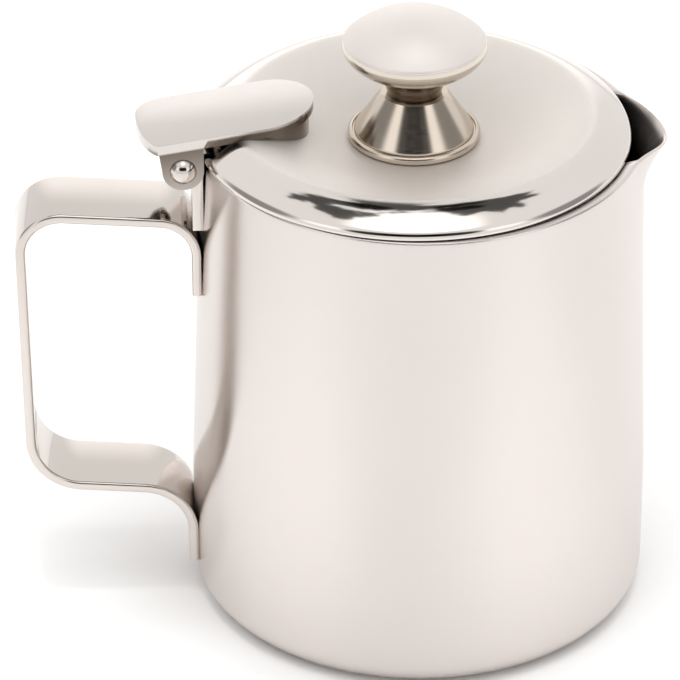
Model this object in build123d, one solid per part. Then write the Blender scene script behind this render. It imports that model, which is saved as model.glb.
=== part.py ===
from build123d import *
import os
from math import radians, sqrt, tan

os.makedirs("parts", exist_ok=True)

# Drawn steel jug, standing on z = 0 with its axis on Z, handle towards -X, spout towards +X.
body_height = 102.6
foot_radius = 46.5
rim_radius = 44.0
taper_start = 28.0
taper_blend = 160.0
foot_round = 6.0
wall = 0.9
rim_ledge = 2.6
rim_depth = 1.5
rim_round = 0.5

# Pouring beak pressed out of the wall.
beak_out = 5.3
beak_fall = 1.8
beak_drop = 11.0
beak_half_width = 12.8
beak_root = 14.0
beak_sink = 0.8
beak_swell = 2.3
# Half of its outline, root to tip: share of the way out, share of the half width.
beak_curve = [(0.43, 0.745), (0.67, 0.55), (0.875, 0.345)]
# Its sections from the bottom up: share of its drop under the tip, share of the half width.
beak_start = (1.0, 0.45)
beak_flare = (0.42, 0.72)
beak_mouth = (0.0, 0.97)
beak_above = (-0.42, 1.1)

# Bent strap handle.
strap_width = 16.5
strap_thick = 2.0
finger_room = 34.0
strap_lean = 1.0
upper_arm_drop = 15.2
upper_tab_length = 16.2
arm_rise = 3.0
lower_tab_foot = 7.6
lower_tab_length = 17.0
upper_inner_bend = 8.0
upper_outer_bend = 8.0
lower_outer_bend = 11.0
lower_inner_bend = 11.0

# Lid pressed with a rolled edge, a little nearer the hinge than the jug's axis.
lid_inset = 0.8
lid_shift = 1.5
lid_gap = 0.3
lid_wall = 0.8
lid_roll_in = 8.2
lid_roll_up = 4.6
lid_shoulder_in = 0.9
lid_shoulder_up = 1.55
lid_dish = 5.4
lid_flat = 11.0

# Hinge of the lid.
bracket_thick = 1.45
bracket_lap = 1.2
knuckle_offset = 1.7
knuckle_radius = 2.6
pin_drop = 1.8
pin_radius = 1.5
pin_clear = 0.05
pin_head_radius = 2.65
pin_head_height = 1.9
ear_thick = 1.6
ear_round = 4.1
ear_out = 4.8
side_clear = 0.3
leaf_width = 20.0
leaf_thick = 2.0
leaf_slope = 9.0
leaf_length = 26.2
leaf_over_knuckle = 1.9
thumb_length = 9.0
thumb_corner = 5.0
thumb_bow = (1.2, 3.0)
seat_inset = 2.0

# Knob of two turned pieces clamped by one screw from below.
knob_foot_radius = 13.2
knob_ring_height = 1.9
knob_groove = 0.9
knob_foot_top = 6.6
knob_joint_z = 10.0
knob_neck_radius = 5.4
knob_collar_radius = 7.6
knob_collar_z = 14.6
knob_cap_radius = 14.35
knob_lip_z = 19.9
knob_edge_in = 0.3
knob_edge_up = 1.7
knob_dome_lean = (2.8, 2.5)
knob_dome_flat = 6.5
knob_cap_rise = 7.4
screw_radius = 2.0
screw_clear = 0.2
screw_head_radius = 4.0
screw_head_height = 2.2
screw_head_round = 0.8
screw_slot_width = 1.0
screw_slot_depth = 0.8
screw_bite = 4.6

# Room by which cutting solids pass what they cut.
margin = 20.0

# Derived places.
taper = (foot_radius - rim_radius) / (body_height - taper_start)


def wall_radius(z):
    return foot_radius - taper * max(0.0, z - taper_start)


beak_tip_z = body_height - beak_fall
beak_reach = rim_radius + beak_out
upper_arm_z = body_height - upper_arm_drop
upper_tab_foot = upper_arm_z - upper_tab_length
lower_arm_z = lower_tab_foot + lower_tab_length
strap_reach = foot_radius + finger_room
lid_radius = rim_radius - lid_inset
lid_edge_z = body_height + lid_gap
lid_crest_z = lid_edge_z + lid_roll_up
lid_centre_z = lid_crest_z - lid_dish
bracket_foot = upper_arm_z - bracket_lap
bracket_plane = max(wall_radius(bracket_foot), rim_radius) + bracket_thick
pin_reach = bracket_plane + knuckle_offset
pin_z = body_height - pin_drop
knuckle_half = leaf_width / 2 - ear_thick - side_clear
leaf_in = pin_reach - leaf_length
leaf_out = pin_reach + thumb_length
leaf_under = pin_z + knuckle_radius + leaf_over_knuckle


def pot_solid(inset, floor, roof):
    edge = foot_radius - inset
    top = wall_radius(roof) - inset
    with BuildPart() as pot:
        with BuildSketch(Plane.XZ):
            with BuildLine():
                Polyline((0, floor), (edge, floor), (edge, taper_start), (top, roof), (0, roof), close=True)
            make_face()
            bend = vertices().filter_by(lambda v: v.X > 1 and abs(v.Y - taper_start) < 0.01)
            fillet(bend, taper_blend)
            corner = vertices().filter_by(lambda v: v.X > 1 and abs(v.Y - floor) < 0.01)
            fillet(corner, foot_round - inset)
            brim = vertices().filter_by(lambda v: v.X > 1 and abs(v.Y - roof) < 0.01)
            fillet(brim, rim_round)
        revolve(axis=Axis.Z)
    return pot.part


def beak_section(z, reach, half, inset):
    root = sqrt((wall_radius(z) - inset) ** 2 - half ** 2) - beak_sink
    tip = reach - inset
    back = rim_radius - beak_root
    near = [(root + out * (tip - root), -side * half) for out, side in beak_curve]
    far = [(x, -y) for x, y in reversed(near)]
    with BuildSketch(Plane.XY.offset(z)) as face:
        with BuildLine():
            Spline((root, -half), *near, (tip, 0), *far, (root, half))
            Polyline((root, half), (back, half), (back, -half), (root, -half))
        make_face()
    return face.sketch


def beak_solid(inset):
    foot = wall_radius(beak_tip_z)
    reaches = [foot - rim_round, foot + beak_swell, beak_reach, 2 * beak_reach - foot - beak_swell]
    faces = []
    for (down, side), reach in zip([beak_start, beak_flare, beak_mouth, beak_above], reaches):
        half_width = side * beak_half_width - inset
        faces.append(beak_section(beak_tip_z - down * beak_drop, reach, half_width, inset))
    return loft(faces)


# Jug: one drawn shell with the beak pressed out of it and the mouth turned in to a ledge.
outer = pot_solid(0, 0, body_height)
lip_start = rim_radius - rim_ledge
lip_slope = beak_fall / (beak_reach - lip_start)
with BuildPart() as lip_cut:
    with BuildSketch(Plane.XZ):
        with BuildLine():
            far = beak_reach + margin
            Polyline(
                (lip_start - margin, body_height),
                (lip_start, body_height),
                (far, body_height - lip_slope * (far - lip_start)),
                (far, body_height + margin),
                (lip_start - margin, body_height + margin),
                close=True,
            )
        make_face()
    extrude(amount=beak_half_width + margin, both=True)
shell_out = outer + (beak_solid(0) - lip_cut.part)
hollow = pot_solid(wall, wall, body_height - rim_depth)
mouth = Pos(0, 0, body_height) * Cylinder(rim_radius - rim_ledge, 4 * rim_depth)
body = shell_out - hollow - mouth - beak_solid(wall)
export_step(body, "parts/body.step")

# Hinge bracket: a strip on the wall above the handle's upper tab, rolled round the pin at its top.
with BuildPart() as strip:
    with BuildSketch(Plane.XZ):
        with Locations((-bracket_plane, bracket_foot)):
            Rectangle(margin, pin_z - bracket_foot, align=(Align.MIN, Align.MIN))
        with Locations((-pin_reach, pin_z)):
            Circle(knuckle_radius)
    extrude(amount=knuckle_half, both=True)
hinge_line = Pos(-pin_reach, 0, pin_z) * Rot(90, 0, 0)
pin_hole = hinge_line * Cylinder(pin_radius, leaf_width + margin)
bracket = strip.part - outer - pin_hole
export_step(bracket, "parts/hinge_bracket.step")

# Handle: one strap bent to a square loop, both of its tabs welded to the wall.
half_strap = strap_thick / 2
tab_top = sqrt(wall_radius(upper_tab_foot) ** 2 - (strap_width / 2) ** 2) + half_strap
tab_low = sqrt(foot_radius ** 2 - (strap_width / 2) ** 2) + half_strap
with BuildPart() as strap:
    with BuildSketch(Plane.XZ):
        with BuildLine():
            FilletPolyline(
                (-tab_top, upper_tab_foot),
                (-tab_top, upper_arm_z),
                (-strap_reach, upper_arm_z + arm_rise),
                (-strap_reach + strap_lean, lower_arm_z + arm_rise),
                (-tab_low, lower_arm_z),
                (-tab_low, lower_tab_foot),
                radius=[upper_inner_bend, upper_outer_bend, lower_outer_bend, lower_inner_bend],
            )
        trace(line_width=strap_thick)
    extrude(amount=strap_width / 2, both=True)
handle = strap.part - outer
export_step(handle, "parts/handle.step")

# Hinge pin: a plain rod with a domed head formed on each end.
shank_half = leaf_width / 2 + side_clear / 2
pin_half = shank_half + pin_head_height
with BuildPart() as pin:
    Cylinder(pin_radius, 2 * shank_half)
    with BuildSketch(Plane.XZ):
        with BuildLine():
            Polyline((0, pin_half), (0, shank_half), (pin_head_radius, shank_half))
            TangentArc((0, pin_half), (pin_head_radius, shank_half), tangent=(1, 0))
        make_face()
    heads = revolve(axis=Axis.Z)
    mirror(heads, about=Plane.XY)
export_step(hinge_line * pin.part, "parts/hinge_pin.step")


# Lid: a pressed disc, its edge rolled down on the mouth and its middle sunk.
def lid_solid(inset, floor):
    crest = lid_radius - lid_roll_in
    shoulder_r = lid_radius - lid_shoulder_in
    shoulder_z = lid_edge_z + lid_shoulder_up
    with BuildPart() as cover:
        with BuildSketch(Plane.XZ):
            with BuildLine():
                Line((0, lid_centre_z - inset), (lid_flat, lid_centre_z - inset))
                Spline(
                    (lid_flat, lid_centre_z - inset),
                    (crest, lid_crest_z - inset),
                    tangents=[(1, 0), (1, 0)],
                )
                Spline(
                    (crest, lid_crest_z - inset),
                    (shoulder_r - inset / sqrt(2), shoulder_z - inset / sqrt(2)),
                    (lid_radius - inset, lid_edge_z),
                    tangents=[(1, 0), (0, -1)],
                )
                Polyline(
                    (lid_radius - inset, lid_edge_z),
                    (lid_radius - inset, floor),
                    (0, floor),
                    (0, lid_centre_z - inset),
                )
            make_face()
        revolve(axis=Axis.Z)
    return Pos(-lid_shift, 0, 0) * cover.part


lid_floor = lid_edge_z - lid_roll_up
lid_block = lid_solid(0, lid_floor)
below_edge = Cylinder(2 * lid_radius, margin) - Cylinder(lid_radius - lid_roll_in, margin)
lid_cut = Pos(-lid_shift, 0, lid_edge_z - margin / 2) * below_edge
lid_plate = lid_block - lid_solid(lid_wall, lid_floor) - lid_cut
screw_way = Pos(-lid_shift, 0, lid_centre_z) * Cylinder(screw_radius + screw_clear, 2 * margin)
lid = lid_plate - screw_way
export_step(lid, "parts/lid.step")

# Lid leaf: a plate over the lid with a thumb end outside, a seat under it and two ears down over the pin.
slope = tan(radians(leaf_slope))
half_leaf = leaf_width / 2
leaf_middle = -leaf_in - half_leaf
thumb_start = -pin_reach - ear_out


def leaf_top(x):
    return leaf_under + leaf_thick + slope * (x + pin_reach)


with BuildPart() as plan:
    with BuildSketch(Plane.XY.offset(pin_z)):
        with BuildLine():
            ThreePointArc((leaf_middle, half_leaf), (-leaf_in, 0), (leaf_middle, -half_leaf))
            Line((leaf_middle, -half_leaf), (thumb_start, -half_leaf))
            corner_start = (-leaf_out, half_leaf - thumb_corner)
            corner_end = (thumb_corner - leaf_out, half_leaf)
            Bezier(
                (thumb_start, -half_leaf),
                (-leaf_out + thumb_bow[0], -half_leaf + thumb_bow[1]),
                (-leaf_out, 0),
                corner_start,
            )
            RadiusArc(corner_start, corner_end, thumb_corner)
            Line(corner_end, (leaf_middle, half_leaf))
        make_face()
    extrude(amount=2 * margin)
with BuildPart() as sheet:
    with BuildSketch(Plane.XZ):
        with BuildLine():
            left = -leaf_out - margin
            right = -leaf_in + margin
            Polyline(
                (left, leaf_top(left)),
                (right, leaf_top(right)),
                (right, leaf_top(right) - leaf_thick),
                (left, leaf_top(left) - leaf_thick),
                close=True,
            )
        make_face()
    extrude(amount=leaf_width, both=True)
seat_back = -lid_radius - lid_shift + lid_roll_in
with BuildPart() as seat:
    with BuildSketch(Plane.XZ):
        with BuildLine():
            seat_front = -leaf_in - seat_inset
            Polyline(
                (seat_back, leaf_top(seat_back) - leaf_thick / 2),
                (seat_front, leaf_top(seat_front) - leaf_thick / 2),
                (seat_front, lid_edge_z),
                (seat_back, lid_edge_z),
                close=True,
            )
        make_face()
    extrude(amount=half_leaf - seat_inset, both=True)
    tip_edges = edges().filter_by(Axis.Z).group_by(Axis.X)[-1]
    fillet(tip_edges, half_leaf - 2 * seat_inset)
ear_top = leaf_under + leaf_thick / 2
with BuildPart() as ear:
    with BuildSketch(Plane.XZ):
        with Locations((-pin_reach, pin_z)):
            Circle(ear_round)
        with BuildLine():
            Polyline(
                (-pin_reach + ear_round, pin_z),
                (-pin_reach + ear_round, ear_top + slope * ear_round),
                (-pin_reach - ear_out, ear_top - slope * ear_out),
                (-pin_reach - ear_round, pin_z),
                close=True,
            )
        make_face()
    extrude(amount=ear_thick)
ear_far = Pos(0, half_leaf, 0) * ear.part
ear_near = Pos(0, ear_thick - half_leaf, 0) * ear.part
ear_hole = hinge_line * Cylinder(pin_radius + pin_clear, leaf_width + margin)
leaf = (plan.part & sheet.part) + seat.part + ear_far + ear_near - ear_hole - lid_block
export_step(leaf, "parts/lid_leaf.step")

# Knob foot: a turned cone on a low ring, with a groove between them.
with BuildPart() as foot:
    with BuildSketch(Plane.XZ):
        with BuildLine():
            ring_in = knob_foot_radius - knob_groove
            Line((0, 0), (ring_in, 0))
            ThreePointArc((ring_in, 0), (knob_foot_radius, knob_ring_height / 2), (ring_in, knob_ring_height))
            Polyline((ring_in, knob_ring_height), (knob_foot_top, knob_joint_z), (0, knob_joint_z), (0, 0))
        make_face()
    revolve(axis=Axis.Z)
knob_place = Pos(-lid_shift, 0, lid_centre_z)
foot_part = knob_place * foot.part - lid_block - screw_way
export_step(foot_part, "parts/knob_foot.step")

# Knob cap: a domed grip with a flared neck that stands on the foot, threaded for the screw.
with BuildPart() as cap:
    with BuildSketch(Plane.XZ):
        with BuildLine():
            cap_top = knob_lip_z + knob_cap_rise
            edge_r = knob_cap_radius - knob_edge_in
            edge_z = knob_lip_z + knob_edge_up
            Line((0, knob_joint_z), (knob_neck_radius, knob_joint_z))
            Spline(
                (knob_neck_radius, knob_joint_z),
                (knob_collar_radius, knob_collar_z),
                (knob_cap_radius, knob_lip_z),
                tangents=[(0.2, 1), (0, 1)],
            )
            Line((knob_cap_radius, knob_lip_z), (edge_r, edge_z))
            Bezier(
                (edge_r, edge_z),
                (edge_r - knob_dome_lean[0], edge_z + knob_dome_lean[1]),
                (knob_dome_flat, cap_top),
                (0, cap_top),
            )
            Line((0, cap_top), (0, knob_joint_z))
        make_face()
    revolve(axis=Axis.Z)
thread = Pos(0, 0, knob_joint_z + screw_bite / 2) * Cylinder(screw_radius, screw_bite)
export_step(knob_place * (cap.part - thread), "parts/knob_cap.step")

# Knob screw: its head bears on the lid's underside and its shank reaches into the cap.
shank_top = knob_joint_z + screw_bite
head_under = -lid_wall - screw_head_height
shank = Pos(0, 0, (shank_top - lid_wall) / 2) * Cylinder(screw_radius, shank_top + lid_wall)
head = Pos(0, 0, -lid_wall - screw_head_height / 2) * Cylinder(screw_head_radius, screw_head_height)
slot = Pos(0, 0, head_under) * Box(2 * screw_head_radius, screw_slot_width, 2 * screw_slot_depth)
screw = shank + fillet(head.edges().sort_by(Axis.Z)[0:1], screw_head_round) - slot
export_step(knob_place * screw - lid, "parts/knob_screw.step")
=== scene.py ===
import math

import bmesh
import bpy
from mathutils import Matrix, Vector


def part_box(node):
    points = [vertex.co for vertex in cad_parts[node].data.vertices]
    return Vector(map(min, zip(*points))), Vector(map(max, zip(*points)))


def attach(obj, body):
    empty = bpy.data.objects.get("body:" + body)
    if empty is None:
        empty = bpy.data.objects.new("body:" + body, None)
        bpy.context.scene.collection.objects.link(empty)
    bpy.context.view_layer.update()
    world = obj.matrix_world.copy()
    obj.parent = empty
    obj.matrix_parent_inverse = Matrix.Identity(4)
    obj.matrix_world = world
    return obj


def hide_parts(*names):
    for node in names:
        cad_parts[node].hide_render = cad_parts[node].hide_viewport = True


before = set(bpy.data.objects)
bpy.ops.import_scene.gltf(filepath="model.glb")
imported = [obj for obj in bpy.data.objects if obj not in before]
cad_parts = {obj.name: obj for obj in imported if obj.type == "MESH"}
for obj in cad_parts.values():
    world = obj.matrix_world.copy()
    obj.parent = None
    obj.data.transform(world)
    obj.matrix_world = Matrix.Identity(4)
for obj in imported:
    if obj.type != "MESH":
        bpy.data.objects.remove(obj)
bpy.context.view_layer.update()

# Jug body: one drawn shell of thin stainless sheet, satin finished round its axis.
# The foot is rounded, the wall draws in towards the mouth, the mouth is turned in to a narrow ledge,
# and the pouring beak is pressed out of the wall on the side away from the handle.
MM = 0.001
body_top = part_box("body")[1]
foot_radius = body_top.y
jug_height = body_top.z
rim_radius = 44.0 * MM
rim_round = 0.5 * MM
foot_round = 6.0 * MM
taper_start = 28.0 * MM
taper_bend = 3.0 * MM
body_sheet = 0.9 * MM
ledge_width = 2.6 * MM
ledge_depth = 1.5 * MM
ledge_edge = 0.2 * MM
ledge_blend = 0.5 * MM
ledge_fade = (0.01, 0.12)
beak_out = body_top.x - rim_radius
beak_fall = 1.8 * MM
beak_turn = math.radians(23)
beak_foot = jug_height - 11.0 * MM
beak_curl = 1.7
beak_part = 0.93
swell_foot = jug_height - 34.0 * MM
swell_part = 0.07
merge_gap = 1e-7


def arc(cx, cz, radius, start, end, count):
    turns = [math.radians(start + (end - start) * step / count) for step in range(count + 1)]
    return [(cx + radius * math.cos(turn), cz + radius * math.sin(turn)) for turn in turns]


def ease(value, low, high):
    share = min(1.0, max(0.0, (value - low) / (high - low)))
    return share * share * (3 - 2 * share)


def beak_share(turn):
    return math.cos(math.pi / 2 * min(1.0, abs(turn) / beak_turn)) ** 2


def wall_radius(z):
    over = z - taper_start
    fall = (foot_radius - rim_radius) / (jug_height - taper_start)
    return foot_radius - fall * (over + math.hypot(over, taper_bend)) / 2


def wall_line(inset, low, high, count):
    steps = [low + (high - low) * step / count for step in range(count + 1)]
    return [(wall_radius(z) - inset, z) for z in steps]


def jug_outline(turn):
    """The shell's outline at one turn from the beak: out along the floor, up the wall, and back inside."""
    share = beak_share(turn)
    ledge_share = 1 - ease(share, *ledge_fade)
    under = jug_height - ledge_depth
    inner = wall_radius(under) - body_sheet
    ledge = inner - (ledge_width - body_sheet) * ledge_share
    corner = foot_radius - foot_round
    rim_line = jug_height - rim_round
    line = [(corner * step / 6, 0) for step in range(7)]
    line += arc(corner, foot_round, foot_round, -90, 0, 12)[1:]
    line += wall_line(0, foot_round, beak_foot, 36)[1:]
    line += wall_line(0, beak_foot, rim_line, 22)[1:]
    line += arc(rim_radius - rim_round, rim_line, rim_round, 0, 90, 5)[1:]
    line += [(ledge + ledge_edge, jug_height), (ledge, jug_height - ledge_edge)]
    line += [(ledge, under + ledge_edge), (ledge + ledge_edge * ledge_share, under)]
    line += [(inner, under - ledge_edge / 2)]
    line += wall_line(body_sheet, under - ledge_blend, beak_foot, 16)
    line += wall_line(body_sheet, beak_foot, foot_round, 20)[1:]
    line += arc(corner, foot_round, foot_round - body_sheet, 0, -90, 8)[1:]
    line += [(corner * step / 4, body_sheet) for step in range(3, -1, -1)]
    shaped = []
    for radius, z in line:
        climb = max(0.0, (z - beak_foot) / (jug_height - beak_foot))
        flare = beak_part * climb ** beak_curl + swell_part * ease(z, swell_foot, jug_height)
        fall = share * share * beak_fall * ease(z, beak_foot, jug_height)
        shaped.append((radius + share * beak_out * flare, z - fall))
    return shaped


def new_piece(name, form):
    data = bpy.data.meshes.new(name)
    form.to_mesh(data)
    form.free()
    piece = bpy.data.objects.new(name, data)
    bpy.context.collection.objects.link(piece)
    return piece


def lathe(name, outline, centre, facets):
    """A solid turned round an upright axis. Its outline may change on the way round."""
    form = bmesh.new()
    rings = []
    for step in range(facets):
        turn = 2 * math.pi * step / facets
        if turn > math.pi:
            turn -= 2 * math.pi
        across, along = math.cos(turn), math.sin(turn)
        rings.append([form.verts.new((centre + r * across, r * along, z)) for r, z in outline(turn)])
    for ring, after in zip(rings, rings[1:] + rings[:1]):
        for row in range(len(ring) - 1):
            form.faces.new((ring[row], after[row], after[row + 1], ring[row + 1]))
    bmesh.ops.remove_doubles(form, verts=form.verts, dist=merge_gap)
    bmesh.ops.dissolve_degenerate(form, edges=form.edges, dist=merge_gap / 10)
    bmesh.ops.recalc_face_normals(form, faces=form.faces)
    for face in form.faces:
        face.smooth = True
    return new_piece(name, form)


def steel(name, dark, light, rough, grain, bump, stretch=(1, 1, 1)):
    """Stainless steel with a cloudy tone, and fine scratches that set its roughness and its relief."""
    cloud_scale = 34.0
    scratch_depth = 0.02 * MM
    scratch_low, scratch_high = 0.3, 0.7
    finish = bpy.data.materials.new(name)
    finish.use_nodes = True
    nodes = finish.node_tree.nodes
    links = finish.node_tree.links
    shader = nodes["Principled BSDF"]
    shader.inputs["Metallic"].default_value = 1.0
    place = nodes.new("ShaderNodeTexCoord")
    pull = nodes.new("ShaderNodeMapping")
    pull.inputs["Scale"].default_value = stretch
    links.new(place.outputs["Object"], pull.inputs["Vector"])
    scratches = nodes.new("ShaderNodeTexNoise")
    scratches.inputs["Scale"].default_value = grain
    scratches.inputs["Detail"].default_value = 6.0
    scratches.inputs["Roughness"].default_value = 0.65
    links.new(pull.outputs["Vector"], scratches.inputs["Vector"])
    cloud = nodes.new("ShaderNodeTexNoise")
    cloud.inputs["Scale"].default_value = cloud_scale
    cloud.inputs["Detail"].default_value = 3.0
    links.new(place.outputs["Object"], cloud.inputs["Vector"])
    tone = nodes.new("ShaderNodeMix")
    tone.data_type = "RGBA"
    tone.inputs["A"].default_value = (*dark, 1)
    tone.inputs["B"].default_value = (*light, 1)
    links.new(cloud.outputs["Fac"], tone.inputs["Factor"])
    links.new(tone.outputs["Result"], shader.inputs["Base Color"])
    roughness = nodes.new("ShaderNodeMapRange")
    roughness.name = "rough"
    roughness.inputs["From Min"].default_value = scratch_low
    roughness.inputs["From Max"].default_value = scratch_high
    roughness.inputs["To Min"].default_value = rough[0]
    roughness.inputs["To Max"].default_value = rough[1]
    links.new(scratches.outputs["Fac"], roughness.inputs["Value"])
    links.new(roughness.outputs["Result"], shader.inputs["Roughness"])
    relief = nodes.new("ShaderNodeBump")
    relief.inputs["Strength"].default_value = bump
    relief.inputs["Distance"].default_value = scratch_depth
    links.new(scratches.outputs["Fac"], relief.inputs["Height"])
    links.new(relief.outputs["Normal"], shader.inputs["Normal"])
    return finish


def brush_round(finish, amount):
    """Scratches run round the Z axis, so reflections are drawn out along the wall's height."""
    quarter_turn = 0.25
    nodes = finish.node_tree.nodes
    shader = nodes["Principled BSDF"]
    shader.inputs["Anisotropic"].default_value = amount
    shader.inputs["Anisotropic Rotation"].default_value = quarter_turn
    way = nodes.new("ShaderNodeTangent")
    way.direction_type = "RADIAL"
    way.axis = "Z"
    finish.node_tree.links.new(way.outputs["Tangent"], shader.inputs["Tangent"])


def pin_marks(finish, spread, size):
    """A few pin-point marks left in the sheet by handling."""
    mark_tone = (0.30, 0.27, 0.25, 1)
    mark_strength = 0.55
    nodes = finish.node_tree.nodes
    links = finish.node_tree.links
    place = nodes.new("ShaderNodeTexCoord")
    scatter = nodes.new("ShaderNodeTexVoronoi")
    scatter.inputs["Scale"].default_value = spread
    links.new(place.outputs["Object"], scatter.inputs["Vector"])
    mark = nodes.new("ShaderNodeMapRange")
    mark.inputs["From Min"].default_value = 0.6 * size * spread
    mark.inputs["From Max"].default_value = size * spread
    mark.inputs["To Min"].default_value = mark_strength
    mark.inputs["To Max"].default_value = 0.0
    links.new(scatter.outputs["Distance"], mark.inputs["Value"])
    tone = nodes.new("ShaderNodeMix")
    tone.data_type = "RGBA"
    tone.inputs["B"].default_value = mark_tone
    links.new(mark.outputs["Result"], tone.inputs["Factor"])
    shader = nodes["Principled BSDF"]
    links.new(shader.inputs["Base Color"].links[0].from_socket, tone.inputs["A"])
    links.new(tone.outputs["Result"], shader.inputs["Base Color"])


jug = lathe("jug_body", jug_outline, 0, facets=480)
satin = steel(
    "satin_steel",
    dark=(0.70, 0.648, 0.62),
    light=(0.73, 0.678, 0.65),
    rough=(0.21, 0.25),
    grain=420,
    bump=0.04,
    stretch=(1, 1, 14),
)
brush_round(satin, amount=0.97)
pin_marks(satin, spread=90.0, size=0.25 * MM)
jug.data.materials.append(satin)
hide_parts("body")
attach(jug, "jug")

# Hinge bracket: a thin polished strip spot-welded to the wall above the handle's upper tab.
# Its top is rolled outwards round the hinge pin, just outside the lid's edge.
strip_low, strip_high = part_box("hinge_bracket")
knuckle = 2.6 * MM
pin_x = strip_low.x + knuckle
pin_z = strip_high.z - knuckle
strip_face = -46.0 * MM
strip_back = -43.75 * MM
strip_edge = 0.2 * MM


def plate(name, near_loop, far_loop):
    """A solid between two loops that have the same number of points."""
    form = bmesh.new()
    near = [form.verts.new(point) for point in near_loop]
    far = [form.verts.new(point) for point in far_loop]
    form.faces.new(near)
    form.faces.new(far[::-1])
    for step in range(len(near)):
        after = (step + 1) % len(near)
        form.faces.new((near[step], far[step], far[after], near[after]))
    bmesh.ops.recalc_face_normals(form, faces=form.faces)
    return new_piece(name, form)


def upright_plate(name, outline, low, high):
    """A plate of one outline in X and Z, standing between two values of Y."""
    return plate(name, [(x, low, z) for x, z in outline], [(x, high, z) for x, z in outline])


def apply_all(piece):
    graph = bpy.context.evaluated_depsgraph_get()
    made = bpy.data.meshes.new_from_object(piece.evaluated_get(graph))
    piece.modifiers.clear()
    old = piece.data
    piece.data = made
    bpy.data.meshes.remove(old)
    made.name = piece.name


def keep_corners(piece, corner):
    """Shades a piece smooth, apart from corners that turn by more than this many degrees."""
    for face in piece.data.polygons:
        face.use_smooth = True
    piece.data.set_sharp_from_angle(angle=math.radians(corner))


def round_edges(piece, edge, steps):
    soften = piece.modifiers.new("edge", "BEVEL")
    soften.width = edge
    soften.segments = steps
    soften.limit_method = "ANGLE"
    soften.angle_limit = math.radians(40)
    apply_all(piece)
    keep_corners(piece, 32)


roll_end = math.degrees(math.acos((strip_face - pin_x) / knuckle))
strip_line = [(strip_face, strip_low.z), (strip_back, strip_low.z), (strip_back, pin_z)]
strip_line += arc(pin_x, pin_z, knuckle, 0, 360 - roll_end, 40)
bracket = upright_plate("hinge_bracket_strip", strip_line, strip_low.y, strip_high.y)
round_edges(bracket, strip_edge, steps=2)
mirror_polish = steel(
    "mirror_polish",
    dark=(0.62, 0.57, 0.535),
    light=(0.68, 0.63, 0.595),
    rough=(0.06, 0.11),
    grain=260,
    bump=0.03,
)
bracket.data.materials.append(mirror_polish)
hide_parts("hinge_bracket")
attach(bracket, "jug")

# Handle: one flat stainless strap bent cold to a square loop, with its edges broken and mirror polished.
# Both of its tabs are welded straight on the wall.
strap_low, strap_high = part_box("handle")
strap_width = strap_high.y - strap_low.y
strap_thick = 2.0 * MM
strap_broken_edge = 0.7 * MM
upper_tab_foot = 71.2 * MM
upper_arm_z = 87.4 * MM
upper_bend = 8.0 * MM
bar_top = (-80.5 * MM, 90.4 * MM)
bar_foot = (-79.5 * MM, 27.6 * MM)
lower_bend = 11.0 * MM
lower_arm_z = 24.6 * MM


def tab_place(z):
    return -math.sqrt(wall_radius(z) ** 2 - (strap_width / 2) ** 2) - strap_thick / 2


upper_tab_x = tab_place(upper_tab_foot)
lower_tab_x = tab_place(strap_low.z)
strap_route = [
    (upper_tab_x, upper_tab_foot, 0),
    (upper_tab_x, upper_arm_z, upper_bend),
    (*bar_top, upper_bend),
    (*bar_foot, lower_bend),
    (lower_tab_x, lower_arm_z, lower_bend),
    (lower_tab_x, strap_low.z, 0),
]


def strap_tree(finish):
    """Sweeps a flat bar with broken edges along the route, and rounds each bend by its own radius."""
    tree = bpy.data.node_groups.new("bent_strap", "GeometryNodeTree")
    face = tree.interface
    face.new_socket("Geometry", in_out="INPUT", socket_type="NodeSocketGeometry")
    width = face.new_socket("Strap width", in_out="INPUT", socket_type="NodeSocketFloat")
    thick = face.new_socket("Strap thickness", in_out="INPUT", socket_type="NodeSocketFloat")
    broken = face.new_socket("Broken edge", in_out="INPUT", socket_type="NodeSocketFloat")
    face.new_socket("Geometry", in_out="OUTPUT", socket_type="NodeSocketGeometry")
    nodes = tree.nodes
    links = tree.links
    start = nodes.new("NodeGroupInput")
    route = nodes.new("GeometryNodeMeshToCurve")
    links.new(start.outputs["Geometry"], route.inputs["Mesh"])
    bend_size = nodes.new("GeometryNodeInputNamedAttribute")
    bend_size.data_type = "FLOAT"
    bend_size.inputs["Name"].default_value = "bend"
    bends = nodes.new("GeometryNodeFilletCurve")
    bends.mode = "POLY"
    bends.inputs["Count"].default_value = 28
    links.new(route.outputs["Curve"], bends.inputs["Curve"])
    links.new(bend_size.outputs["Attribute"], bends.inputs["Radius"])
    bar = nodes.new("GeometryNodeCurvePrimitiveQuadrilateral")
    links.new(start.outputs["Strap thickness"], bar.inputs["Width"])
    links.new(start.outputs["Strap width"], bar.inputs["Height"])
    edge = nodes.new("GeometryNodeFilletCurve")
    edge.mode = "POLY"
    edge.inputs["Count"].default_value = 5
    links.new(bar.outputs["Curve"], edge.inputs["Curve"])
    links.new(start.outputs["Broken edge"], edge.inputs["Radius"])
    sweep = nodes.new("GeometryNodeCurveToMesh")
    sweep.inputs["Fill Caps"].default_value = True
    links.new(bends.outputs["Curve"], sweep.inputs["Curve"])
    links.new(edge.outputs["Curve"], sweep.inputs["Profile Curve"])
    joined = nodes.new("GeometryNodeRealizeInstances")
    links.new(sweep.outputs["Mesh"], joined.inputs["Geometry"])
    coat = nodes.new("GeometryNodeSetMaterial")
    coat.inputs["Material"].default_value = finish
    links.new(joined.outputs["Geometry"], coat.inputs["Geometry"])
    end = nodes.new("NodeGroupOutput")
    links.new(coat.outputs["Geometry"], end.inputs["Geometry"])
    return tree, width.identifier, thick.identifier, broken.identifier


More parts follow.
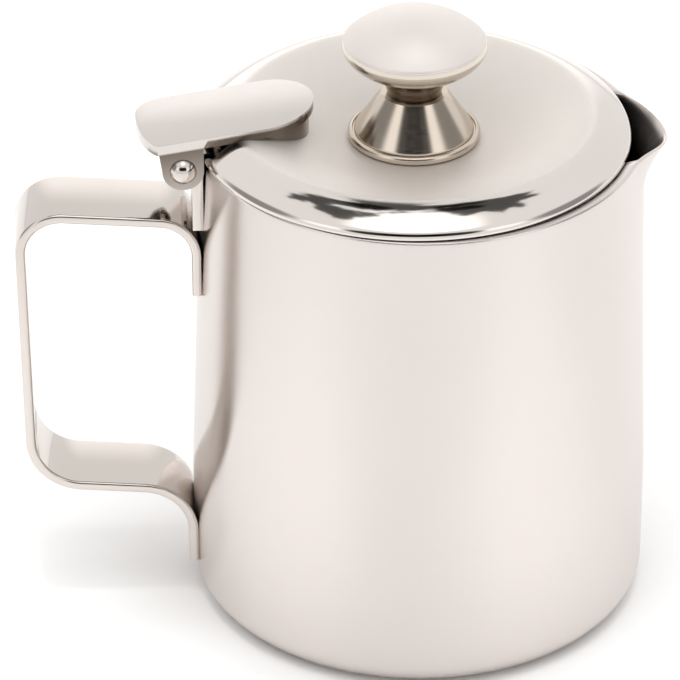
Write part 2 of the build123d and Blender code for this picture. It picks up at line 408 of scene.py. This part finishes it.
def clean_mesh(piece, gap, flat_turn=0.0):
    """Merges points that lie together, joins flat faces, and turns all faces outwards."""
    form = bmesh.new()
    form.from_mesh(piece.data)
    bmesh.ops.remove_doubles(form, verts=form.verts, dist=gap)
    if flat_turn:
        bmesh.ops.dissolve_limit(form, angle_limit=flat_turn, verts=form.verts, edges=form.edges)
    bmesh.ops.recalc_face_normals(form, faces=form.faces)
    form.to_mesh(piece.data)
    form.free()


route_mesh = bpy.data.meshes.new("strap_route")
route_edges = [(step, step + 1) for step in range(len(strap_route) - 1)]
route_mesh.from_pydata([(x, 0, z) for x, z, bend in strap_route], route_edges, [])
bend_values = route_mesh.attributes.new("bend", "FLOAT", "POINT")
for step, (x, z, bend) in enumerate(strap_route):
    bend_values.data[step].value = bend
handle = bpy.data.objects.new("strap_handle", route_mesh)
bpy.context.collection.objects.link(handle)
tree, width_key, thick_key, broken_key = strap_tree(mirror_polish)
strap_make = handle.modifiers.new("strap", "NODES")
strap_make.node_group = tree
strap_make[width_key] = strap_width
strap_make[thick_key] = strap_thick
strap_make[broken_key] = strap_broken_edge
apply_all(handle)
clean_mesh(handle, merge_gap)
keep_corners(handle, 35)
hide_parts("handle")
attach(handle, "jug")

# Hinge pin: a steel rod through the bracket's roll and both ears of the leaf.
# Each end is hammered to a bright domed head, so that it can't slide out.
pin_low, pin_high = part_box("hinge_pin")
head_radius = (pin_high.z - pin_low.z) / 2
head_height = 1.9 * MM
shank = 1.5 * MM
dome = (head_radius ** 2 + head_height ** 2) / (2 * head_height)
dome_turn = math.degrees(math.asin(head_radius / dome))
dome_line = arc(0, pin_high.y - dome, dome, 90 - dome_turn, 90, 10)
pin_line = [(0, pin_low.y)]
pin_line += [(r, -y) for r, y in dome_line[::-1][1:]]
pin_line += [(shank, head_height - pin_high.y), (shank, pin_high.y - head_height)]
pin_line += dome_line[:-1] + [(0, pin_high.y)]
pin = lathe("hinge_pin_rod", lambda turn: pin_line, 0, facets=48)
for point in pin.data.vertices:
    across, up, along = point.co
    point.co = (pin_x + across, along, pin_z + up)
pin.data.flip_normals()
keep_corners(pin, 40)
pin.data.materials.append(mirror_polish)
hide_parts("hinge_pin")
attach(pin, "jug")

# Lid: one pressed stainless disc, its edge rolled down to meet the jug's mouth.
# Its middle lies lower than its edge and has a frosted satin finish, and the roll is polished bright.
lid_low, lid_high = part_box("lid")
lid_radius = (lid_high.y - lid_low.y) / 2
lid_x = (lid_low.x + lid_high.x) / 2
lid_crest = lid_high.z
lid_edge = lid_crest - 4.6 * MM
lid_edge_lean = 0.7 * MM
lid_sheet = 0.8 * MM
lid_dish = 5.4 * MM
lid_flat = 11.0 * MM
crest_radius = lid_radius - 8.2 * MM
crest_lean = 2.4 * MM
shoulder_r = lid_radius - 0.9 * MM
shoulder_z = lid_edge + 1.55 * MM
shoulder_above = (1.66 * MM, 1.12 * MM)
shoulder_below = (0.41 * MM, 0.28 * MM)
dish_steps = 45


def bezier(a, b, c, d, count):
    points = []
    for step in range(count + 1):
        t = step / count
        u = 1 - t
        weights = (u ** 3, 3 * u * u * t, 3 * u * t * t, t ** 3)
        points.append(tuple(sum(w * p[k] for w, p in zip(weights, (a, b, c, d))) for k in (0, 1)))
    return points


lid_top = []
for step in range(dish_steps + 1):
    radius = crest_radius * step / dish_steps
    lid_top.append((radius, lid_crest - lid_dish * (1 - ease(radius, lid_flat, crest_radius))))
lid_top += bezier(
    (crest_radius, lid_crest),
    (crest_radius + crest_lean, lid_crest),
    (shoulder_r - shoulder_above[0], shoulder_z + shoulder_above[1]),
    (shoulder_r, shoulder_z),
    18,
)[1:]
lid_top += bezier(
    (shoulder_r, shoulder_z),
    (shoulder_r + shoulder_below[0], shoulder_z - shoulder_below[1]),
    (lid_radius, lid_edge + lid_edge_lean),
    (lid_radius, lid_edge),
    8,
)[1:]


def lid_surface(radius):
    for (r0, z0), (r1, z1) in zip(lid_top, lid_top[1:]):
        if r0 <= radius < r1:
            return z0 + (z1 - z0) * (radius - r0) / (r1 - r0)
    return lid_edge


lid_under = []
for step, (radius, z) in enumerate(lid_top):
    r0, z0 = lid_top[max(0, step - 1)]
    r1, z1 = lid_top[min(len(lid_top) - 1, step + 1)]
    length = math.hypot(r1 - r0, z1 - z0)
    lid_under.append((radius + lid_sheet * (z1 - z0) / length, z - lid_sheet * (r1 - r0) / length))
lid_under[0] = (0, lid_under[0][1])
lid_under[-1] = (lid_radius - lid_sheet, lid_edge)
lid_line = lid_top + lid_under[::-1]
lid = lathe("lid_disc", lambda turn: lid_line, lid_x, facets=256)
keep_corners(lid, 50)
lid_steel = steel(
    "lid_steel",
    dark=(0.735, 0.69, 0.655),
    light=(0.775, 0.73, 0.695),
    rough=(0.52, 0.58),
    grain=300,
    bump=0.04,
)
frosted_metal = 0.75


def polish_roll(finish, satin_end, polish_start, polished):
    """The frosted satin middle gives way to a bright roll, by the distance from the lid's middle."""
    nodes = finish.node_tree.nodes
    links = finish.node_tree.links
    place = nodes.new("ShaderNodeTexCoord")
    flat = nodes.new("ShaderNodeVectorMath")
    flat.operation = "MULTIPLY_ADD"
    flat.inputs[1].default_value = (1, 1, 0)
    flat.inputs[2].default_value = (-lid_x, 0, 0)
    links.new(place.outputs["Object"], flat.inputs[0])
    reach = nodes.new("ShaderNodeVectorMath")
    reach.operation = "LENGTH"
    links.new(flat.outputs["Vector"], reach.inputs[0])
    share = nodes.new("ShaderNodeMapRange")
    share.interpolation_type = "SMOOTHSTEP"
    share.inputs["From Min"].default_value = satin_end
    share.inputs["From Max"].default_value = polish_start
    links.new(reach.outputs["Value"], share.inputs["Value"])
    mixed = nodes.new("ShaderNodeMix")
    mixed.inputs["B"].default_value = polished
    links.new(share.outputs["Result"], mixed.inputs["Factor"])
    links.new(nodes["rough"].outputs["Result"], mixed.inputs["A"])
    shader = nodes["Principled BSDF"]
    links.new(mixed.outputs["Result"], shader.inputs["Roughness"])
    metal = nodes.new("ShaderNodeMapRange")
    metal.inputs["To Min"].default_value = frosted_metal
    metal.inputs["To Max"].default_value = 1.0
    links.new(share.outputs["Result"], metal.inputs["Value"])
    links.new(metal.outputs["Result"], shader.inputs["Metallic"])


polish_roll(lid_steel, crest_radius - 1.0 * MM, crest_radius + 2.5 * MM, polished=0.07)
lid.data.materials.append(lid_steel)
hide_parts("lid")
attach(lid, "cover")

# Lid leaf: a pressed plate on a small seat welded on the lid, with a rounded inner end and a thumb end.
# Two ears are folded down from its long edges and turn on the pin beside the bracket's roll.
leaf_low, leaf_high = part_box("lid_leaf")
leaf_half = (leaf_high.y - leaf_low.y) / 2
leaf_slope = math.tan(math.radians(9))
leaf_thick = 2.0 * MM
leaf_edge = 0.55 * MM
leaf_under_pin = pin_z + knuckle + 1.9 * MM
ear_thick = 1.6 * MM
ear_round = 4.1 * MM
ear_out = 4.8 * MM
seat_inset = 0.9 * MM
seat_bite = 0.15 * MM
thumb_corner = 5.0 * MM
thumb_bow = (1.2 * MM, 3.0 * MM)
thumb_start = pin_x - ear_out - 0.1 * MM


def leaf_under(x):
    return leaf_under_pin + leaf_slope * (x - pin_x)


def leaf_middle(x):
    return leaf_under(x) + leaf_thick / 2


def leaf_top(x):
    return leaf_under(x) + leaf_thick


def sloping_plate(name, plan, top, bottom):
    """A plate of one outline in X and Y, between two sloping planes."""
    return plate(name, [(x, y, top(x)) for x, y in plan], [(x, y, bottom(x)) for x, y in plan])


leaf_plan = arc(leaf_high.x - leaf_half, 0, leaf_half, -90, 90, 40)
leaf_plan += arc(leaf_low.x + thumb_corner, leaf_half - thumb_corner, thumb_corner, 90, 180, 12)
leaf_plan += bezier(
    (leaf_low.x, leaf_half - thumb_corner),
    (leaf_low.x, 0),
    (leaf_low.x + thumb_bow[0], -leaf_half + thumb_bow[1]),
    (thumb_start, -leaf_half),
    16,
)[1:]
leaf = sloping_plate("lid_leaf_plate", leaf_plan, leaf_top, leaf_under)
seat_front = leaf_high.x - seat_inset
seat_back = lid_x - crest_radius
seat_half = leaf_half - seat_inset
seat_plan = arc(seat_front - seat_half, 0, seat_half, -90, 90, 24)
seat_plan += [(seat_back, seat_half), (seat_back, -seat_half)]
seat_back_z = lid_crest - seat_bite
seat_front_z = lid_surface(lid_x - seat_front) - seat_bite


def seat_under(x):
    return seat_back_z + (seat_front_z - seat_back_z) * (x - seat_back) / (seat_front - seat_back)


ear_line = arc(pin_x, pin_z, ear_round, 180, 360, 28)
ear_line += [(x, leaf_middle(x)) for x in (pin_x + ear_round, pin_x - ear_out)]
joined_on = [
    sloping_plate("leaf_seat", seat_plan, leaf_middle, seat_under),
    upright_plate("near_ear", ear_line, leaf_low.y, leaf_low.y + ear_thick),
    upright_plate("far_ear", ear_line, leaf_high.y - ear_thick, leaf_high.y),
]
for part in joined_on:
    weld = leaf.modifiers.new("weld", "BOOLEAN")
    weld.operation = "UNION"
    weld.solver = "EXACT"
    weld.object = part
apply_all(leaf)
for part in joined_on:
    spare = part.data
    bpy.data.objects.remove(part)
    bpy.data.meshes.remove(spare)
clean_mesh(leaf, 10 * merge_gap, flat_turn=math.radians(0.5))
round_edges(leaf, leaf_edge, steps=4)
leaf_steel = steel(
    "leaf_steel",
    dark=(0.635, 0.595, 0.57),
    light=(0.675, 0.635, 0.61),
    rough=(0.16, 0.22),
    grain=280,
    bump=0.03,
)


def share_along(finish, direction, low, high):
    """Runs from 0 to 1 between two places along a direction."""
    nodes = finish.node_tree.nodes
    links = finish.node_tree.links
    place = nodes.new("ShaderNodeTexCoord")
    height = nodes.new("ShaderNodeVectorMath")
    height.operation = "DOT_PRODUCT"
    height.inputs[1].default_value = direction
    links.new(place.outputs["Object"], height.inputs[0])
    span = nodes.new("ShaderNodeMapRange")
    span.inputs["From Min"].default_value = low
    span.inputs["From Max"].default_value = high
    links.new(height.outputs["Value"], span.inputs["Value"])
    return span.outputs["Result"]


def paint_leaf_shade(finish):
    """Paints shade on the seat, the ears and the cut sides of the plate, darkest just under the plate."""
    ear_end = pin_x + ear_round
    ear_fade = 0.8 * MM
    cut_side_drop = -0.13
    # Painted shade tones: darkest where the ears and the seat meet the underside of the plate.
    leaf_shade_tones = ((0.66, (0.32, 0.29, 0.26, 1)), (0.80, (0.26, 0.23, 0.20, 1)), (0.84, (1, 1, 1, 1)))
    nodes = finish.node_tree.nodes
    links = finish.node_tree.links
    ear_foot = pin_z - ear_round - leaf_slope * pin_x
    plate_top = leaf_under_pin + leaf_thick - leaf_slope * pin_x
    height = share_along(finish, (-leaf_slope, 0, 1), ear_foot, plate_top)
    past_ears = share_along(finish, (1, 0, 0), ear_end, ear_end + ear_fade)
    lowered = nodes.new("ShaderNodeMath")
    lowered.operation = "MULTIPLY_ADD"
    lowered.inputs[1].default_value = cut_side_drop
    links.new(past_ears, lowered.inputs[0])
    links.new(height, lowered.inputs[2])
    leaf_shade_ramp = nodes.new("ShaderNodeValToRGB")
    leaf_shade_ramp.color_ramp.elements[0].color = (0.62, 0.60, 0.57, 1)
    leaf_shade_ramp.color_ramp.elements[1].color = (1, 1, 1, 1)
    for place, tone in leaf_shade_tones:
        leaf_shade_ramp.color_ramp.elements.new(place).color = tone
    links.new(lowered.outputs["Value"], leaf_shade_ramp.inputs["Fac"])
    both = nodes.new("ShaderNodeMix")
    both.data_type = "RGBA"
    both.blend_type = "MULTIPLY"
    both.inputs["Factor"].default_value = 1.0
    shader = nodes["Principled BSDF"]
    links.new(shader.inputs["Base Color"].links[0].from_socket, both.inputs["A"])
    links.new(leaf_shade_ramp.outputs["Color"], both.inputs["B"])
    links.new(both.outputs["Result"], shader.inputs["Base Color"])


# Painted shade on the leaf's seat, ears and cut sides.
paint_leaf_shade(leaf_steel)
leaf.data.materials.append(leaf_steel)
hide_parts("lid_leaf")
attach(leaf, "cover")

# Knob foot: a turned stainless cone that stands in the middle of the lid on a low ring.
# A fine groove parts the cone from its ring, and the screw holds the foot down from below.
joint_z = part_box("knob_foot")[1].z
knob_z = lid_crest - lid_dish
foot_reach = 13.2 * MM
ring_round = 0.95 * MM
ring_top = knob_z + 1.9 * MM
groove_floor = ring_top - 0.4 * MM
cone_foot = (foot_reach - 1.35 * MM, ring_top + 0.1 * MM)
cone_low = (10.2 * MM, knob_z + 4.6 * MM)
cone_high = (8.3 * MM, knob_z + 7.4 * MM)
cone_top = (6.6 * MM, joint_z)
foot_line = [(0, knob_z), (foot_reach - ring_round, knob_z)]
foot_line += arc(foot_reach - ring_round, knob_z + ring_round, ring_round, -90, 85, 14)[1:]
foot_line += [(foot_reach - 1.05 * MM, groove_floor), (foot_reach - 1.25 * MM, groove_floor)]
foot_line += bezier(cone_foot, cone_low, cone_high, cone_top, 26)
foot_line += [(0, joint_z)]
stem = lathe("knob_stem", lambda turn: foot_line, lid_x, facets=128)
keep_corners(stem, 48)
turned_steel = steel(
    "turned_knob_steel",
    dark=(0.60, 0.53, 0.45),
    light=(0.66, 0.585, 0.505),
    rough=(0.15, 0.21),
    grain=500,
    bump=0.05,
    stretch=(1, 1, 9),
)
brush_round(turned_steel, amount=0.6)
stem.data.materials.append(turned_steel)
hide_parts("knob_foot")
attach(stem, "cover")

# Knob cap: a lens-shaped grip turned from stainless bar, with a short flared neck that stands on the foot.
# Its underside is bright from the lathe, and its top is a low satin dome with a crisp edge.
cap_low, cap_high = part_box("knob_cap")
cap_reach = (cap_high.y - cap_low.y) / 2
neck = 5.4 * MM
neck_edge = 0.2 * MM
collar_r = 7.6 * MM
collar_z = knob_z + 14.6 * MM
lip_z = knob_z + 19.9 * MM
edge_r = cap_reach - 0.3 * MM
edge_z = lip_z + 1.7 * MM
bright_top = edge_z - 0.45 * MM
cap_line = [(0, cap_low.z), (neck - neck_edge, cap_low.z), (neck, cap_low.z + neck_edge)]
cap_line += bezier(
    (neck, cap_low.z + neck_edge),
    (neck + 0.5 * MM, cap_low.z + 2.3 * MM),
    (collar_r - 1.0 * MM, collar_z - 1.2 * MM),
    (collar_r, collar_z),
    12,
)[1:]
cap_line += bezier(
    (collar_r, collar_z),
    (collar_r + 3.0 * MM, collar_z + 0.9 * MM),
    (cap_reach - 0.1 * MM, lip_z - 1.9 * MM),
    (cap_reach, lip_z + 0.3 * MM),
    18,
)[1:]
cap_line += [(edge_r + 0.12 * MM, edge_z - 0.5 * MM), (edge_r, edge_z - 0.15 * MM)]
cap_line += bezier(
    (edge_r - 0.2 * MM, edge_z + 0.05 * MM),
    (edge_r - 2.8 * MM, edge_z + 2.5 * MM),
    (6.5 * MM, cap_high.z),
    (0, cap_high.z),
    30,
)
cap = lathe("knob_cap_lens", lambda turn: cap_line, lid_x, facets=128)
keep_corners(cap, 48)
satin_cap = steel(
    "satin_cap_steel",
    dark=(0.80, 0.75, 0.72),
    light=(0.84, 0.79, 0.76),
    rough=(0.50, 0.56),
    grain=420,
    bump=0.05,
)


def polish_and_shade_below(finish, edge, polished):
    """Under its edge the grip is bright from the lathe, and painted shade darkens its colour towards the
    neck, under the cap.
    """
    edge_fade = 0.1 * MM
    neck_shade_tones = ((0.42, (0.36, 0.31, 0.26, 1)), (0.68, (0.62, 0.555, 0.48, 1)))
    nodes = finish.node_tree.nodes
    links = finish.node_tree.links
    share = share_along(finish, (0, 0, 1), edge - edge_fade, edge)
    shader = nodes["Principled BSDF"]
    # Painted shade: the underside's polished tone darkens down to the neck, where the cap shades it.
    under = nodes.new("ShaderNodeValToRGB")
    under.color_ramp.elements[0].color = (0.27, 0.23, 0.19, 1)
    under.color_ramp.elements[1].color = (0.70, 0.635, 0.56, 1)
    for place, tone in neck_shade_tones:
        under.color_ramp.elements.new(place).color = tone
    links.new(share_along(finish, (0, 0, 1), cap_low.z, edge), under.inputs["Fac"])
    colour = nodes.new("ShaderNodeMix")
    colour.data_type = "RGBA"
    links.new(under.outputs["Color"], colour.inputs["A"])
    links.new(share, colour.inputs["Factor"])
    links.new(shader.inputs["Base Color"].links[0].from_socket, colour.inputs["B"])
    links.new(colour.outputs["Result"], shader.inputs["Base Color"])
    sheen = nodes.new("ShaderNodeMix")
    sheen.inputs["A"].default_value = polished
    links.new(share, sheen.inputs["Factor"])
    links.new(nodes["rough"].outputs["Result"], sheen.inputs["B"])
    links.new(sheen.outputs["Result"], shader.inputs["Roughness"])
    metal = nodes.new("ShaderNodeMapRange")
    metal.inputs["To Min"].default_value = 1.0
    metal.inputs["To Max"].default_value = frosted_metal
    links.new(share, metal.inputs["Value"])
    links.new(metal.outputs["Result"], shader.inputs["Metallic"])


# Polished underside, with painted shade darkening it towards the neck.
polish_and_shade_below(satin_cap, bright_top, polished=0.16)
cap.data.materials.append(satin_cap)
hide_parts("knob_cap")
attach(cap, "cover")

# Knob screw: a plain steel screw that comes up through the lid and the foot, and draws the cap down.
# Only its slotted head shows, inside the lid, so the solid itself is kept and given its finish here.
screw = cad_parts["knob_screw"]
screw_steel = steel(
    "plain_screw_steel",
    dark=(0.55, 0.54, 0.52),
    light=(0.66, 0.65, 0.63),
    rough=(0.22, 0.34),
    grain=900,
    bump=0.08,
)
screw.data.materials.clear()
screw.data.materials.append(screw_steel)

# Stage floor: a wide pale floor with matt paint, which takes only soft shade.
# It is no piece of the jug.
floor_half = 6.0
floor_corners = [(-1, -1), (1, -1), (1, 1), (-1, 1)]
floor_form = bmesh.new()
floor_form.faces.new([floor_form.verts.new((floor_half * x, floor_half * y, 0)) for x, y in floor_corners])
floor = new_piece("pale_floor", floor_form)
pale = bpy.data.materials.new("pale_floor_paint")
pale.use_nodes = True
paint = pale.node_tree.nodes["Principled BSDF"]
speck = pale.node_tree.nodes.new("ShaderNodeTexNoise")
speck.inputs["Scale"].default_value = 90
speck_tone = pale.node_tree.nodes.new("ShaderNodeMix")
speck_tone.data_type = "RGBA"
speck_tone.inputs["A"].default_value = (0.90, 0.90, 0.90, 1)
speck_tone.inputs["B"].default_value = (0.92, 0.92, 0.92, 1)
pale.node_tree.links.new(speck.outputs["Fac"], speck_tone.inputs["Factor"])
pale.node_tree.links.new(speck_tone.outputs["Result"], paint.inputs["Base Color"])
paint.inputs["Roughness"].default_value = 0.9
paint.inputs["Specular IOR Level"].default_value = 0.0
floor.data.materials.append(pale)

# Camera: it stands a metre off, in front and a little towards the handle, and looks down on the lid.
# A long lens keeps the wall's sides nearly upright, and the view is shifted to leave room for the handle.
camera_turn = math.radians(4.5)
camera_rise = math.radians(31.5)
camera_far = 1.0
camera_lens = 259.4
shift_left = 16.2 * MM
shift_up = 1.8 * MM
aim = Vector((0, 0, 52 * MM))


def heading(turn, rise):
    """The direction at a turn from the front and a rise from the floor."""
    return Vector((math.sin(turn) * math.cos(rise), -math.cos(turn) * math.cos(rise), math.sin(rise)))


toward = heading(-camera_turn, camera_rise)
camera_data = bpy.data.cameras.new("photo_camera")
camera = bpy.data.objects.new("photo_camera", camera_data)
bpy.context.collection.objects.link(camera)
camera_data.lens = camera_lens
camera_data.sensor_width = 36
camera_data.clip_start = 0.01
right = Vector((math.cos(camera_turn), -math.sin(camera_turn), 0))
above = right.cross(-toward)
look_at = aim - shift_left * right + shift_up * above
camera.location = aim + camera_far * toward
camera.rotation_euler = (look_at - camera.location).to_track_quat("-Z", "Y").to_euler()
bpy.context.scene.camera = camera

# Surround: even white on all sides, a little brighter overhead and along the horizon at the back.
# Dim places in front draw the dark lines in the knob, and torn ones high at the back mark the lid's roll.
surround_level = 0.98
world = bpy.data.worlds.new("studio_surround")
bpy.context.scene.world = world
world.use_nodes = True
sky = world.node_tree.nodes
sky_links = world.node_tree.links
glow = sky["Background"]
sky_way = sky.new("ShaderNodeTexCoord")
ragged = sky.new("ShaderNodeTexNoise")
ragged.inputs["Scale"].default_value = 7.0
ragged.inputs["Detail"].default_value = 3.0
sky_links.new(sky_way.outputs["Generated"], ragged.inputs["Vector"])


def sky_patch(before, turn, rise, inner, outer, amount, tear=0.0):
    """One round patch of the surround made dimmer or brighter, with a soft or a torn border."""
    facing = sky.new("ShaderNodeVectorMath")
    facing.operation = "DOT_PRODUCT"
    facing.inputs[1].default_value = heading(math.radians(turn), math.radians(rise))
    sky_links.new(sky_way.outputs["Generated"], facing.inputs[0])
    torn = sky.new("ShaderNodeMath")
    torn.operation = "MULTIPLY_ADD"
    torn.inputs[1].default_value = tear
    sky_links.new(ragged.outputs["Fac"], torn.inputs[0])
    sky_links.new(facing.outputs["Value"], torn.inputs[2])
    band = sky.new("ShaderNodeMapRange")
    band.interpolation_type = "SMOOTHSTEP"
    band.inputs["From Min"].default_value = math.cos(math.radians(outer)) + tear / 2
    band.inputs["From Max"].default_value = math.cos(math.radians(inner)) + tear / 2
    band.inputs["To Min"].default_value = 1.0
    band.inputs["To Max"].default_value = amount
    sky_links.new(torn.outputs["Value"], band.inputs["Value"])
    both = sky.new("ShaderNodeMath")
    both.operation = "MULTIPLY"
    sky_links.new(before, both.inputs[0])
    sky_links.new(band.outputs["Result"], both.inputs[1])
    return both.outputs["Value"]


even = sky.new("ShaderNodeValue")
even.outputs["Value"].default_value = 1.0
shade = even.outputs["Value"]
for side in (-1, 0, 1):
    shade = sky_patch(shade, turn=20 * side - 4, rise=35, inner=10, outer=19, amount=0.05)
for side in (-1, 1):
    shade = sky_patch(shade, turn=48 * side - 4, rise=31, inner=6, outer=16, amount=1.4)
    shade = sky_patch(shade, turn=88 * side - 4, rise=20, inner=14, outer=28, amount=0.35)
shade = sky_patch(shade, turn=0, rise=84, inner=10, outer=22, amount=1.9)
for turn in (140, 180, 220):
    shade = sky_patch(shade, turn=turn, rise=68, inner=8, outer=11, amount=0.10, tear=0.10)
shade = sky_patch(shade, turn=180, rise=10, inner=8, outer=24, amount=1.5)
warmth = sky.new("ShaderNodeMix")
warmth.data_type = "RGBA"
warmth.inputs["A"].default_value = (0.95, 0.93, 0.90, 1)
warmth.inputs["B"].default_value = (1.0, 0.99, 0.975, 1)
sky_links.new(shade, warmth.inputs["Factor"])
level = sky.new("ShaderNodeMath")
level.operation = "MULTIPLY"
level.inputs[1].default_value = surround_level
sky_links.new(shade, level.inputs[0])
sky_links.new(warmth.outputs["Result"], glow.inputs["Color"])
sky_links.new(level.outputs["Value"], glow.inputs["Strength"])

# Lights: one broad soft light overhead, and two soft pools on the floor that brighten the wall from below.
# None of them shows as a bright shape in the steel.
top_data = bpy.data.lights.new("broad_soft_light", "AREA")
top_data.size = 3.0
top_data.energy = 33
top = bpy.data.objects.new("broad_soft_light", top_data)
bpy.context.collection.objects.link(top)
top.location = (0, 0, 2.0)
top.visible_glossy = False
pool_height = 0.6
pool_spread = math.radians(19)
for name, x, y, watts in (("left_pool", -108, -62, 3.2), ("right_pool", 88, -90, 3.4)):
    pool_data = bpy.data.lights.new(name, "SPOT")
    pool_data.energy = watts
    pool_data.spot_size = pool_spread
    pool_data.spot_blend = 1.0
    pool_data.shadow_soft_size = 0.03
    pool = bpy.data.objects.new(name, pool_data)
    bpy.context.collection.objects.link(pool)
    pool.location = (x * MM, y * MM, pool_height)
    pool.visible_glossy = False
bpy.context.scene.view_settings.view_transform = "Standard"
